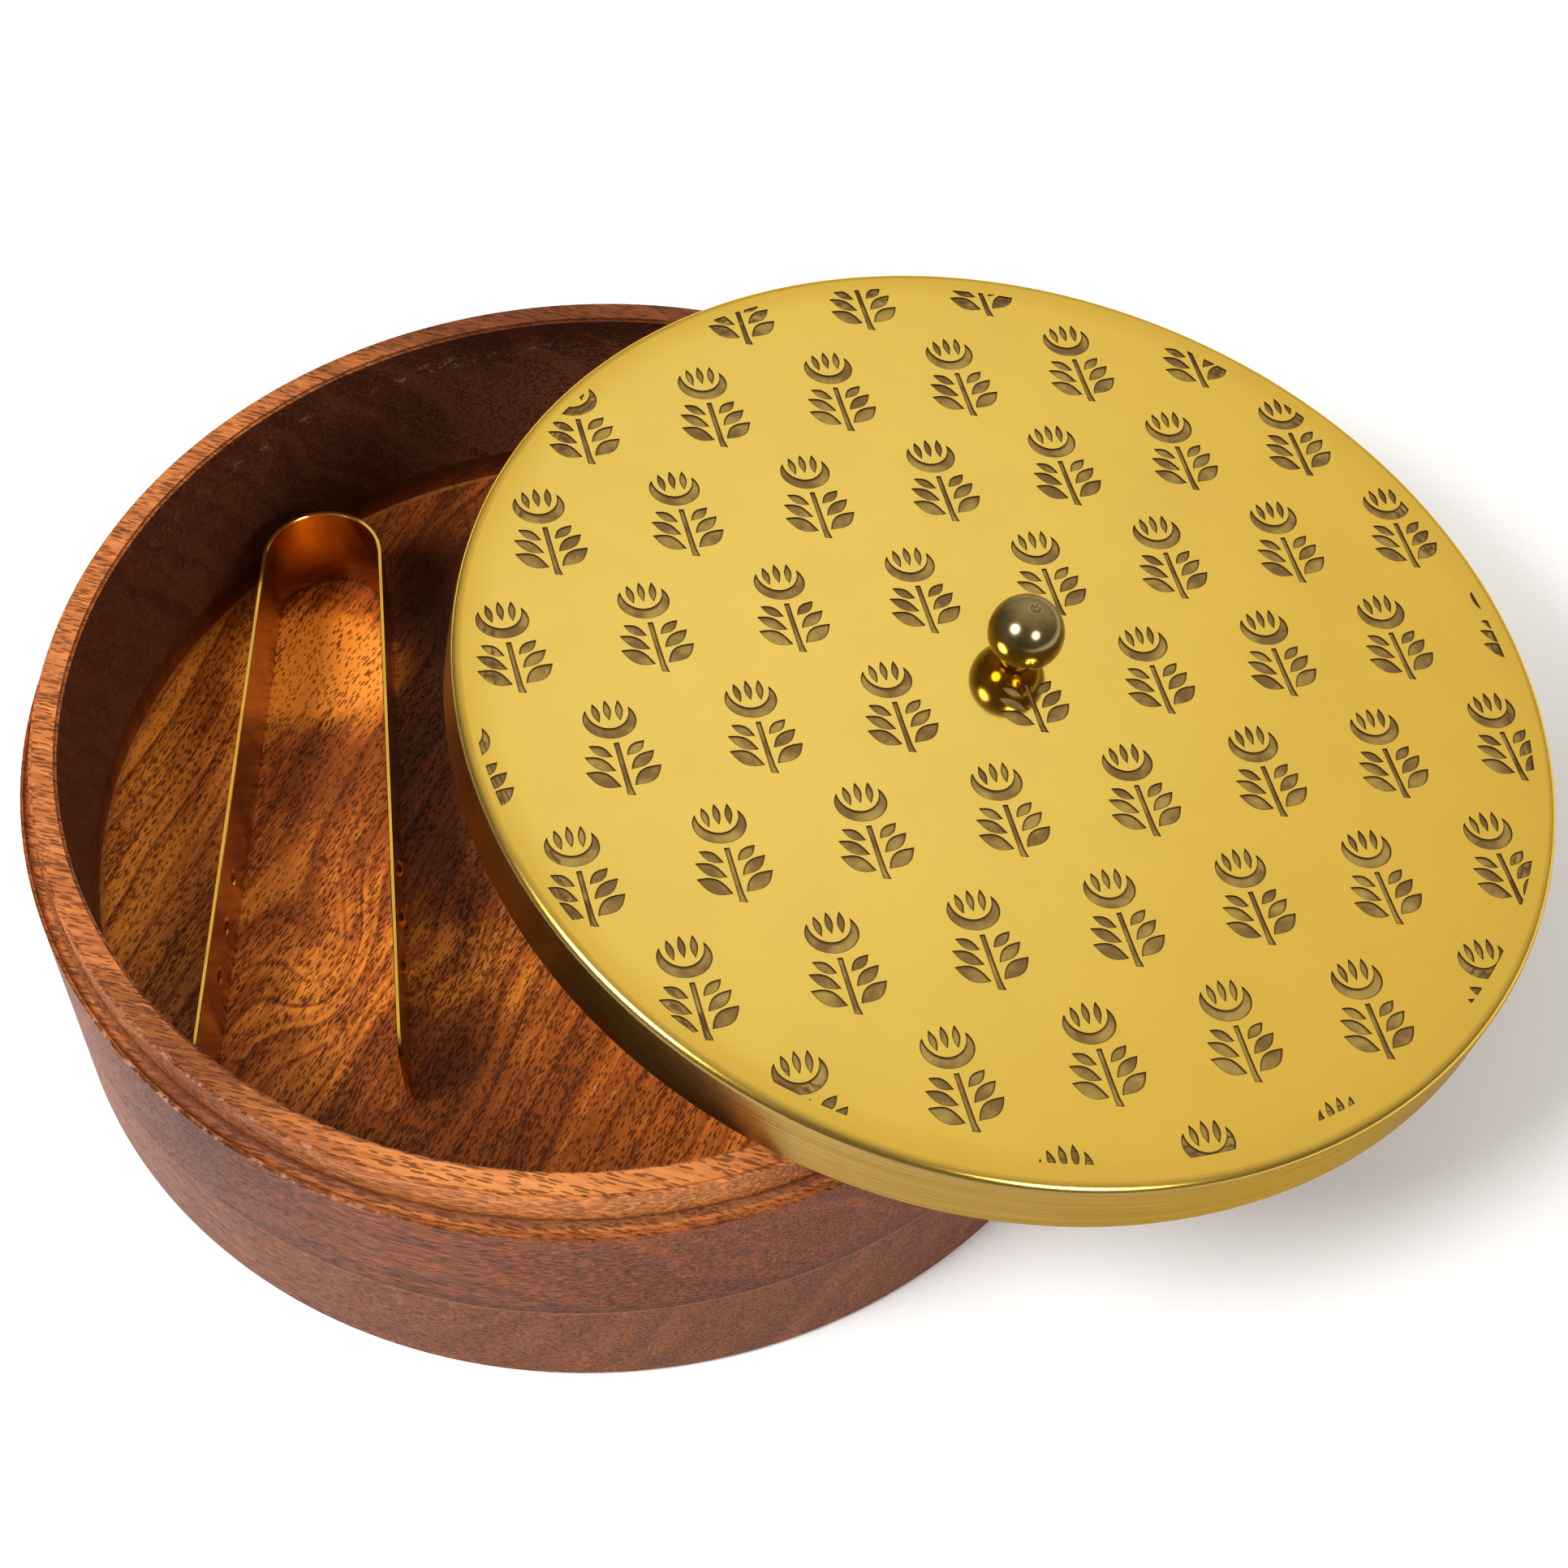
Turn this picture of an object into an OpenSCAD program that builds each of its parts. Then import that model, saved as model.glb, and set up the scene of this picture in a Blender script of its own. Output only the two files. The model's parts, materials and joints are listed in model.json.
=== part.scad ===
// Round glued-up wooden bread box with a brass lid left leaning on its rim
// and a pair of brass strip tongs standing inside. Millimetres, +Z up.
// Origin: centre of the box's underside. +X: the side the lid has slid to.

/* [Box] */
// Outer radius of the box
box_r = 125; // [110:1:140]
// Height of the box at its rim
box_h = 73.5; // [62:0.5:90]
// Radius of the turned inside
bore_r = 115.2; // [100:0.2:116]
// Height of the inside floor above the table
floor_top = 22; // [14:0.5:24]
// Height of the glue line between the two ring layers
layer_z = 29.7; // [28:0.1:36]
// How far the floor panel runs under the ring
floor_lip = 3.3; // [2:0.1:5]

/* [Rebate for the lid] */
// Outer radius of the rim that the lid fits over
rim_r = 121.2; // [118:0.1:122]
// Depth of the rebate below the rim
rebate_h = 10; // [6:0.5:12]
// Radius of the cove at the foot of the rebate
cove_r = 1.6; // [1:0.1:2]
// Small chamfer on the turned edges
ease = 0.7; // [0.3:0.1:1]

/* [Boards] */
// Direction of the boards in the upper ring, degrees
upper_grain = -16; // [-30:1:0]
// Direction of the boards in the lower ring, degrees
lower_grain = 140; // [130:1:150]
// Direction of the floor boards, degrees
floor_grain = 64; // [55:1:75]

/* [Lid] */
// Outer radius of the lid
lid_r = 122.7; // [122.6:0.1:123.5]
// Outside depth of the lid, plate and skirt together
lid_depth = 15.3; // [13:0.1:18]
// Thickness of the brass sheet
sheet = 1; // [0.8:0.1:1.2]
// Outer radius of the rolled edge between plate and skirt
edge_r = 2.2; // [1.5:0.1:3]
// How far the lid has slid off the box centre
lid_shift = 93.4; // [85:0.1:100]
// Air left between lid and rim where they would touch
rest_gap = 0.3; // [0.3:0.1:0.5]

/* [Knob] */
// Radius of the ball
ball_r = 8.4; // [7:0.1:8.4]
// Height of the ball's centre over the plate
ball_z = 8.5; // [8.5:0.1:11]
// Radius of the turned foot under the ball
foot_r = 4; // [4:0.1:5]
// How far back of the lid's centre the knob's hole is drilled
knob_back = 7.5; // [0:0.5:8]
// Radius of the screw's shank
shank_r = 2; // [1.5:0.1:2.5]

/* [Tongs] */
// Width of the brass strip, standing on edge
strip_w = 25; // [18:1:25]
// Thickness of the strip
strip_t = 1; // [0.8:0.1:1.5]
// Outer radius of the bow
bow_r = 14.2; // [12:0.1:18]
// Length of each arm beyond the bow
arm_len = 136.5; // [110:0.5:140]
// Angle that each arm opens outward
flare = 3.4; // [2:0.1:4]
// Radius of the corners at the tips
tip_r = 5; // [3:0.5:8]
// Gap that lets an arm flex against the bow
flex_gap = 0.15; // [0.1:0.05:0.3]
// Place of the bow's centre, along X
tongs_x = -67.1; // [-70:0.1:-60]
// Place of the bow's centre, along Y
tongs_y = 63.1; // [55:0.1:65]
// Turn of the tongs on the floor, degrees
tongs_turn = 2.8; // [0:0.1:4]

/* [Grip dimples] */
// Dimples on each arm
dimple_n = 3; // [1:1:4]
// Distance from the tip to the first dimple
dimple_first = 28; // [20:1:40]
// Distance between dimples
dimple_pitch = 13; // [8:0.5:16]
// Radius of a dimple at the strip's face
dimple_r = 2.3; // [1.5:0.1:3]
// Height of a dimple over the strip's face
dimple_h = 0.8; // [0.4:0.1:0.8]

/* [Hidden] */
$fn = 96;
ledge_z = box_h - rebate_h;
lid_bore_r = lid_r - sheet;
far = 2 * box_r;

// How far a cutting shape runs past the face that it cuts
over = 1;

// Clearance holes round the screw's shank
pan_hole_r = shank_r + 0.3;
washer_hole_r = shank_r + 0.2;
knob_hole_r = shank_r + 0.05;

// Turned ring under the knob's foot, and the neck inside it
ring_out = 0.2;
ring_h = 0.8;
neck_in = 0.4;

// Washer, and the screw's slotted head with its bevelled crown
washer_r = 3 * shank_r;
washer_t = 0.8;
head_r = 2 * shank_r;
head_h = 1.4;
crown_h = 0.8;
slot_w = 0.8;
slot_deep = 0.8;

// How far a dimple's hollow is cut past the strip's inner face
hollow_over = 0.2;

// Lines where the boards meet, as distances from the box's axis
upper_joints = [-46, 59, 94];
lower_joints = [-108, -40, 35, 100];
floor_joints = [-90, -32, 28, 84];

// The lid's plate lies on the right of the rim and its skirt stands on the
// rim's outer edge at front and back. These follow from the angle it leans.
function lid_z_at(a) = box_h + sheet / cos(a) + (rim_r - lid_shift) * tan(a);
function skirt_cos(a) =
    (lid_z_at(a) - lid_depth * cos(a) - box_h) / (lid_bore_r * sin(a));
function skirt_u(a) =
    lid_shift - lid_depth * sin(a) + lid_bore_r * skirt_cos(a) * cos(a);
function skirt_v2(a) = pow(lid_bore_r, 2) * (1 - pow(skirt_cos(a), 2));
function skirt_error(a) = pow(skirt_u(a), 2) + skirt_v2(a) - pow(rim_r, 2);
function lean_between(lo, hi, n) =
    n == 0 ? (lo + hi) / 2
    : skirt_error((lo + hi) / 2) > 0
        ? lean_between(lo, (lo + hi) / 2, n - 1)
        : lean_between((lo + hi) / 2, hi, n - 1);
lid_lean = lean_between(8, 16, 24);
lid_z = lid_z_at(lid_lean) + rest_gap;

// ---- Wood ----------------------------------------------------------------

// Section of the upper ring: wall, ledge, cove and rim
module upper_section() {
    difference() {
        union() {
            translate([bore_r, layer_z])
                square([box_r - bore_r, ledge_z - layer_z - ease]);
            translate([bore_r, layer_z])
                square([box_r - bore_r - ease, ledge_z - layer_z]);
            translate([bore_r, ledge_z - over])
                square([rim_r - bore_r, rebate_h + over - ease]);
            translate([bore_r + ease, ledge_z])
                square([rim_r - bore_r - 2 * ease, rebate_h]);
        }
        translate([rim_r + cove_r, ledge_z + cove_r * 0.4])
            circle(r = cove_r);
    }
}

// Section of the lower ring, rabbeted underneath for the floor panel
module lower_section() {
    difference() {
        translate([bore_r, 0])
            square([box_r - bore_r, layer_z]);
        translate([bore_r - over, -over])
            square([floor_lip + over, floor_top + over]);
        translate([box_r, 0])
            rotate(45)
                square(2 * ease, center = true);
    }
}

// Part of a layer that lies between two joints, lo to hi across the boards.
// side picks the piece left of the axis (-1), right of it (1), or both (0).
module between_joints(grain, lo, hi, side = 0) {
    x0 = side > 0 ? 0 : -far;
    x1 = side < 0 ? 0 : far;
    rotate([0, 0, grain])
        translate([x0, lo, -over])
            cube([x1 - x0, hi - lo, box_h + 2 * over]);
}

module upper_board(lo, hi, side = 0) {
    color("sienna")
        intersection() {
            rotate_extrude()
                upper_section();
            between_joints(upper_grain, lo, hi, side);
        }
}

module lower_board(lo, hi, side = 0) {
    color("saddlebrown")
        intersection() {
            rotate_extrude()
                lower_section();
            between_joints(lower_grain, lo, hi, side);
        }
}

module floor_board(lo, hi) {
    color("peru")
        intersection() {
            cylinder(r = bore_r + floor_lip, h = floor_top);
            between_joints(floor_grain, lo, hi);
        }
}

module upper_front_board() { upper_board(-far, upper_joints[0]); }
module upper_left_board() { upper_board(upper_joints[0], upper_joints[1], -1); }
module upper_right_board() { upper_board(upper_joints[0], upper_joints[1], 1); }
module upper_back_left_board() { upper_board(upper_joints[1], upper_joints[2], -1); }
module upper_back_right_board() { upper_board(upper_joints[1], upper_joints[2], 1); }
module upper_back_board() { upper_board(upper_joints[2], far); }

// The lower boards run from front left to back right, so the ends that are
// left of the axis along the grain are the ones at the front right.
module lower_front_left_board() { lower_board(-far, lower_joints[0]); }
module lower_left_board() { lower_board(lower_joints[0], lower_joints[1], 1); }
module lower_front_board() { lower_board(lower_joints[0], lower_joints[1], -1); }
module lower_mid_left_board() { lower_board(lower_joints[1], lower_joints[2], 1); }
module lower_mid_right_board() { lower_board(lower_joints[1], lower_joints[2], -1); }
module lower_back_left_board() { lower_board(lower_joints[2], lower_joints[3], 1); }
module lower_back_right_board() { lower_board(lower_joints[2], lower_joints[3], -1); }
module lower_back_board() { lower_board(lower_joints[3], far); }

module floor_board_1() { floor_board(-far, floor_joints[0]); }
module floor_board_2() { floor_board(floor_joints[0], floor_joints[1]); }
module floor_board_3() { floor_board(floor_joints[1], floor_joints[2]); }
module floor_board_4() { floor_board(floor_joints[2], floor_joints[3]); }
module floor_board_5() { floor_board(floor_joints[3], far); }

// ---- Lid -----------------------------------------------------------------

// Moves a piece from the lid's own frame, with the plate's top at z = 0,
// to where the lid leans.
module on_lid() {
    translate([lid_shift, 0, lid_z])
        rotate([0, lid_lean, 0])
            children();
}

// The same, from the middle of the knob's hole
module on_hole() {
    on_lid()
        translate([0, knob_back, 0])
            children();
}

// Half section of a rounded cap of radius r and corner radius c
module cap_section(r, c, top) {
    translate([0, -lid_depth])
        square([r - c, lid_depth + top]);
    translate([0, -lid_depth])
        square([r, lid_depth + top - c]);
    translate([r - c, top - c])
        circle(r = c);
}

module lid_pan() {
    color("goldenrod")
        on_lid()
            difference() {
                rotate_extrude()
                    difference() {
                        cap_section(lid_r, edge_r, 0);
                        translate([0, -over])
                            cap_section(lid_bore_r, edge_r - sheet, over - sheet);
                    }
                translate([0, knob_back, -2 * sheet])
                    cylinder(r = pan_hole_r, h = 4 * sheet);
            }
}

module lid_knob() {
    color("darkkhaki")
        on_hole()
            difference() {
                union() {
                    translate([0, 0, ball_z])
                        sphere(r = ball_r);
                    cylinder(r1 = foot_r + ring_out, r2 = foot_r, h = ring_h);
                    cylinder(r = foot_r - neck_in, h = ball_z / 2);
                }
                translate([0, 0, -over])
                    cylinder(r = knob_hole_r, h = ball_z + over);
            }
}

module lid_washer() {
    color("gold")
        on_hole()
            translate([0, 0, -sheet - washer_t])
                difference() {
                    cylinder(r = washer_r, h = washer_t);
                    translate([0, 0, -over])
                        cylinder(r = washer_hole_r, h = washer_t + 2 * over);
                }
}

module lid_screw() {
    color("khaki")
        on_hole()
            translate([0, 0, -sheet - washer_t])
                difference() {
                    union() {
                        cylinder(r = shank_r, h = ball_z);
                        translate([0, 0, -head_h])
                            cylinder(r = head_r, h = head_h);
                        translate([0, 0, -head_h - crown_h])
                            cylinder(r1 = 0.75 * head_r, r2 = head_r, h = crown_h);
                    }
                    translate([0, 0, -head_h - crown_h])
                        cube([3 * head_r, slot_w, 2 * slot_deep], center = true);
                }
}

// ---- Tongs ---------------------------------------------------------------

// Moves a piece from the tongs' own frame, bow centre at the origin and arms
// along -Y, to where the tongs stand on the floor.
module on_floor() {
    translate([tongs_x, tongs_y, floor_top + rest_gap])
        rotate([0, 0, tongs_turn])
            children();
}

module tongs_bow() {
    color("gold")
        on_floor()
            rotate_extrude(angle = 180)
                translate([bow_r - strip_t, 0])
                    square([strip_t, strip_w]);
}

// Side view of one arm, along -Y and up, with both tip corners rounded
module arm_outline() {
    translate([-arm_len + tip_r, 0])
        square([arm_len - tip_r - flex_gap, strip_w]);
    translate([-arm_len, tip_r])
        square([arm_len - flex_gap, strip_w - 2 * tip_r]);
    for (z = [tip_r, strip_w - tip_r])
        translate([-arm_len + tip_r, z])
            circle(r = tip_r);
}

// One pressed dimple as a shallow cone, standing on the plane x = 0
module dimple(deeper = 0) {
    translate([-deeper, 0, 0])
        rotate([0, 90, 0])
            cylinder(r1 = dimple_r + deeper, r2 = dimple_r / 2, h = dimple_h + deeper);
}

// An arm in its own frame: outer face at x = 0, inside towards -x
module arm() {
    difference() {
        union() {
            rotate([90, 0, 90])
                translate([0, 0, -strip_t])
                    linear_extrude(strip_t)
                        arm_outline();
            for (i = [0 : dimple_n - 1])
                dimple_place(i)
                    dimple();
        }
        for (i = [0 : dimple_n - 1])
            dimple_place(i)
                translate([-strip_t, 0, 0])
                    dimple(hollow_over);
    }
}

module dimple_place(i) {
    translate([0, dimple_first + i * dimple_pitch - arm_len, strip_w / 2])
        children();
}

module tongs_right_arm() {
    color("gold")
        on_floor()
            translate([bow_r, 0, 0])
                rotate([0, 0, flare])
                    arm();
}

module tongs_left_arm() {
    color("gold")
        on_floor()
            mirror([1, 0, 0])
                translate([bow_r, 0, 0])
                    rotate([0, 0, flare])
                        arm();
}

upper_front_board();
upper_left_board();
upper_right_board();
upper_back_left_board();
upper_back_right_board();
upper_back_board();
lower_front_left_board();
lower_left_board();
lower_front_board();
lower_mid_left_board();
lower_mid_right_board();
lower_back_left_board();
lower_back_right_board();
lower_back_board();
floor_board_1();
floor_board_2();
floor_board_3();
floor_board_4();
floor_board_5();
lid_pan();
lid_knob();
lid_screw();
lid_washer();
tongs_bow();
tongs_left_arm();
tongs_right_arm();
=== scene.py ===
"""Looks for the round wooden bread box: glued boards, an etched brass lid and brass tongs."""
import itertools
import json
import math
import random

import bpy
from mathutils import Matrix, Vector
from mathutils.geometry import delaunay_2d_cdt


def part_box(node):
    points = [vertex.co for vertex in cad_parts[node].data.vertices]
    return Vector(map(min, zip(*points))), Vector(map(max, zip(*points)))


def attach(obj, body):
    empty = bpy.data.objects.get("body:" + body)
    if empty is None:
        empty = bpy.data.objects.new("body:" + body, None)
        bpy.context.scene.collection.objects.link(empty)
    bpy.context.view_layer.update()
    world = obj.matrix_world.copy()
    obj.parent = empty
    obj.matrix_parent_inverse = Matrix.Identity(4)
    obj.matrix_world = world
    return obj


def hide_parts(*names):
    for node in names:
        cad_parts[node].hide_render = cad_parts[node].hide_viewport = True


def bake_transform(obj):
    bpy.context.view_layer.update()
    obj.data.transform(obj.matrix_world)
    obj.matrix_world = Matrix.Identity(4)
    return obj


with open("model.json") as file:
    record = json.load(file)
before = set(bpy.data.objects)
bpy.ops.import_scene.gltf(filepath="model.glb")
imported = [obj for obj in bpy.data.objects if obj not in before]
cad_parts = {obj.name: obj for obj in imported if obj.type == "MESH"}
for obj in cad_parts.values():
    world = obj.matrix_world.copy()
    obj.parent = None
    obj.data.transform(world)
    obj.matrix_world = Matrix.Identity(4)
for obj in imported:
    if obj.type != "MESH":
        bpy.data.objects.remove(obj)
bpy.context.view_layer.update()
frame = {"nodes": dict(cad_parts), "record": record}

MM = 0.001

# Box, in mm as in the CAD design, and the direction of each layer's grain in degrees
BORE_R = 115.2
RIM_R = 121.2
BOX_R = 125.0
BOX_H = 73.5
LEDGE_Z = 63.5
GLUE_Z = 29.7
FLOOR_TOP = 22.0
GRAIN = {"upper": -16, "lower": 140, "floor": 64}

# Lid, in mm in its own axes: plate's top at z = 0
LID_R = 122.7
LID_DEPTH = 15.3
SHEET = 1.0
EDGE_R = 2.2
ROLL_FROM = LID_R - EDGE_R
ROUND = 256

# The plate's face eases over by CROWN from this radius out to the roll.
CROWN = 0.22
CROWN_FROM = 113.5

# Knob, and the hole it is screwed through, behind the lid's centre
KNOB_BACK = 7.5
HOLE_R = 2.3
BALL_R = 8.4
BALL_Z = 8.5
FOOT_R = 3.7

# Etching: its depth, how far in its floor is fully lit, the oval it stops at, and the clear disc at the knob
ETCH_DEPTH = 0.35
INSET = 0.42
ETCH_LIMIT = (118.6, 116.9)
ETCH_SHIFT = Vector((-1.0, 0.0))
KNOB_CLEAR = 7.0
FLOWER_TURN = math.radians(15.5)

# Material slots of the lid's sheet
FACE, ETCHED, WALL, ROLL, SKIRT, INSIDE = range(6)

# Tongs, in mm in their own axes: bow's centre at the origin, arms along -Y, dimples measured from the tip
STRIP_W = 25.0
STRIP_T = 1.0
BOW_R = 14.2
ARM_LEN = 136.5
FLARE = math.radians(3.4)
TONGS_TURN = math.radians(2.8)
TIP_R = 5.0
DIMPLE_R = 2.3
DIMPLE_H = 1.3
DIMPLES = [28.0, 41.0, 54.0]


# ---- Meshes --------------------------------------------------------------


def new_object(name, points, faces, place=None):
    """A smooth-shaded mesh object in the frame's metres, from points in mm and a matrix that places them."""
    place = place or Matrix.Identity(4)
    mesh = bpy.data.meshes.new(name)
    mesh.from_pydata([place @ (Vector(p) * MM) for p in points], [], faces)
    mesh.validate()
    mesh.shade_smooth()
    mesh.set_sharp_from_angle(angle=math.radians(28))
    made = bpy.data.objects.new(name, mesh)
    bpy.context.scene.collection.objects.link(made)
    return made


def circle(radius, count, y=0.0):
    """Points evenly round a circle, anticlockwise from +X."""
    turn = 2 * math.pi / count
    return [(radius * math.cos(k * turn), y + radius * math.sin(k * turn)) for k in range(count)]


def arc(cx, cy, rx, ry, start, end, count):
    """Points along an elliptical arc, angles in degrees."""
    angles = [math.radians(start + (end - start) * k / (count - 1)) for k in range(count)]
    return [(cx + rx * math.cos(a), cy + ry * math.sin(a)) for a in angles]


def ring_faces(first, second):
    """Quads between two closed rings of point indices."""
    count = len(first)
    return [(first[k], first[(k + 1) % count], second[(k + 1) % count], second[k]) for k in range(count)]


# ---- Materials -----------------------------------------------------------


class Tree:
    """A material's node tree, with one call for each node."""

    def __init__(self, owner):
        owner.use_nodes = True
        self.nodes = owner.node_tree.nodes
        self.links = owner.node_tree.links
        self.nodes.clear()

    def add(self, kind, inputs=None, out=0, **settings):
        node = self.nodes.new("ShaderNode" + kind)
        for key, value in settings.items():
            setattr(node, key, value)
        for key, value in (inputs or {}).items():
            if isinstance(value, bpy.types.NodeSocket):
                self.links.new(value, node.inputs[key])
            else:
                node.inputs[key].default_value = value
        return node.outputs[out]

    def math(self, operation, a, b=0.0, c=0.0):
        return self.add("Math", {0: a, 1: b, 2: c}, operation=operation)

    def stretch(self, vector, sizes):
        """Coordinates whose pattern is sizes mm long, along each axis."""
        return self.add("Mapping", {"Vector": vector, "Scale": tuple(1 / s for s in sizes)})

    def noise(self, vector, detail=2.0, roughness=0.5):
        inputs = {"Vector": vector, "Scale": 1.0, "Detail": detail, "Roughness": roughness}
        return self.add("TexNoise", inputs)

    def span(self, value, low, high, to_low=0.0, to_high=1.0):
        """value taken from low..high to to_low..to_high, smoothly and no further."""
        inputs = {"Value": value, "From Min": low, "From Max": high, "To Min": to_low, "To Max": to_high}
        return self.add("MapRange", inputs, interpolation_type="SMOOTHSTEP")

    def band(self, value, centre, half_width, soft):
        """1 where value is within half_width of centre, 0 beyond a soft edge."""
        away = self.math("ABSOLUTE", self.math("SUBTRACT", value, centre))
        return self.span(away, half_width, half_width + soft, 1.0, 0.0)

    def mix(self, factor, a, b, blend="MIX"):
        node = self.nodes.new("ShaderNodeMix")
        node.data_type = "RGBA"
        node.blend_type = blend
        for index, value in ((0, factor), (6, a), (7, b)):
            if isinstance(value, bpy.types.NodeSocket):
                self.links.new(value, node.inputs[index])
            else:
                node.inputs[index].default_value = value
        return node.outputs[2]

    def multiply(self, a, b):
        """Two colours multiplied."""
        return self.mix(1.0, a, b, "MULTIPLY")

    def ramp(self, factor, stops):
        """A colour ramp through (position, (r, g, b)) stops."""
        node = self.nodes.new("ShaderNodeValToRGB")
        points = node.color_ramp.elements
        while len(points) < len(stops):
            points.new(0.5)
        for point, (position, colour) in zip(points, stops):
            point.position = position
            point.color = (*colour, 1)
        self.links.new(factor, node.inputs[0])
        return node.outputs[0]

    def bump(self, height, distance, strength=1.0):
        return self.add("Bump", {"Height": height, "Distance": distance, "Strength": strength}, out="Normal")

    def finish(self, inputs):
        shader = self.add("BsdfPrincipled", inputs)
        output = self.nodes.new("ShaderNodeOutputMaterial")
        self.links.new(shader, output.inputs["Surface"])


def rgb(r, g, b):
    return (r, g, b, 1)


def zoomed(t, coordinates, factor):
    return t.add("Mapping", {"Vector": coordinates, "Scale": (factor,) * 3})


def millimetres(t, coordinates, sizes, middle=(0, 0, 0)):
    """Object coordinates in mm from middle, divided by sizes."""
    shift = tuple(-m / s for m, s in zip(middle, sizes))
    scale = tuple(1000 / s for s in sizes)
    return t.add("Mapping", {"Vector": coordinates, "Location": shift, "Scale": scale})


def spot(t, here, middle, sizes):
    """1 at middle, fading to 0 about sizes mm away."""
    away = t.add("VectorMath", {0: millimetres(t, here, sizes, middle)}, operation="LENGTH", out="Value")
    return t.math("EXPONENT", t.math("MULTIPLY", t.math("MULTIPLY", away, away), -1.0))


def weighted(t, *terms):
    """Sum of (value, weight) pairs."""
    total = 0.0
    for value, weight in terms:
        total = t.math("MULTIPLY_ADD", value, weight, total) if total else t.math("MULTIPLY", value, weight)
    return total


def axis_distance(t, here):
    """Distance from the box's axis, in mm."""
    flat = t.add("VectorMath", {0: here, 1: (1000, 1000, 0)}, operation="MULTIPLY")
    return t.add("VectorMath", {0: flat}, operation="LENGTH", out="Value")


def turned_wall(t, here):
    """1 on the box's outer wall and on the rim's outer wall, where the lathe cut the grain rough."""
    radius = axis_distance(t, here)
    outer = t.span(radius, BOX_R - 0.8, BOX_R - 0.3)
    return t.math("MAXIMUM", outer, t.math("MULTIPLY", t.band(radius, RIM_R, 0.2, 0.4), 0.8))


def pore_dashes(t, grain, crowd, length, width):
    """Short slim dashes along the grain, one in each cell of a stretched pattern. crowd is how far each dash
    fills its cell."""
    cells = t.add("TexVoronoi", {"Vector": t.stretch(grain, (length, width, width)), "Scale": 1.0,
                                 "Randomness": 0.85}, out="Distance")
    return t.span(t.math("SUBTRACT", crowd, cells), -0.025, 0.035)


def all_pores(t, grain, bands, look):
    """Two sets of pores that cross over each other, more crowded in the dark growth bands."""
    few, many = look["pores"]
    length, width = look["pore_size"]
    crowd = t.span(bands, 0.66, 0.40, few, many)
    elsewhere = t.add("Mapping", {"Vector": grain, "Location": (57, 31, 83)})
    return t.math("MAXIMUM", pore_dashes(t, grain, crowd, length, width),
                  pore_dashes(t, elsewhere, crowd, length * 1.25, width * 1.15))


def grain_parts(t, here, grain, layer):
    """The parts of the wood's figure, each 0 to 1, by name."""
    wander = t.add("VectorMath", {0: t.add("TexNoise", {
        "Vector": t.stretch(grain, (95, 34, 34)), "Scale": 1.0, "Detail": 2.0}, out="Color"),
        1: (0.5, 0.5, 0.5)}, operation="SUBTRACT")
    pushed = t.add("VectorMath", {0: wander, 1: (0, 22, 20), 2: grain}, operation="MULTIPLY_ADD")

    # Growth bands follow the distance from a pith line that runs below the board, and close round each eye.
    across = t.add("SeparateXYZ", {0: pushed}, out="Y")
    height = t.add("SeparateXYZ", {0: pushed}, out="Z")
    reach = t.math("ADD", across, t.math("MULTIPLY", height, 0.55))
    for middle, sizes, lift in EYES[layer]:
        reach = t.math("MULTIPLY_ADD", spot(t, here, middle, sizes), lift, reach)
    band_width = FIGURE[layer]["band_width"]
    bands = {"W": t.math("DIVIDE", reach, band_width), "Scale": 1.0, "Detail": 4.0, "Roughness": 0.6}
    return {
        "bands": t.add("TexNoise", bands, noise_dimensions="1D"),
        "rings": t.span(t.math("PINGPONG", reach, band_width * 0.42), 0.0, 0.95, 1.0, 0.0),
        "streaks": t.noise(t.stretch(pushed, (24, 1.3, 1.3)), detail=3.0, roughness=0.65),
        "blotches": t.noise(t.stretch(grain, (16, 8, 8)), detail=3.0, roughness=0.6),
        "curl": t.noise(t.stretch(grain, (2.4, 9, 9)), detail=2.0),
        "fibre": t.noise(t.stretch(grain, (8, 0.55, 0.55)), detail=3.0, roughness=0.7),
    }


def lightness(t, here, parts, layer):
    """How light the wood is, 0 to 1: the weighted figure, its clouds, some of them painted light and shade,
    and the thin dark ring lines.
    """
    look = FIGURE[layer]
    weights = [look[part] for part in WEIGHTED]
    value = weighted(t, *[(parts[part], weight) for part, weight in zip(WEIGHTED, weights)])
    for middle, sizes, lift in CLOUDS_AND_PAINTED_LIGHT[layer]:
        value = t.math("MULTIPLY_ADD", spot(t, here, middle, sizes), lift, value)
    lines = t.math("MULTIPLY", parts["rings"], parts["blotches"])
    value = t.math("MULTIPLY_ADD", lines, -look["rings"], value)
    return t.span(value, sum(weights) / 2 - look["spread"], sum(weights) / 2 + look["spread"])


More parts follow.
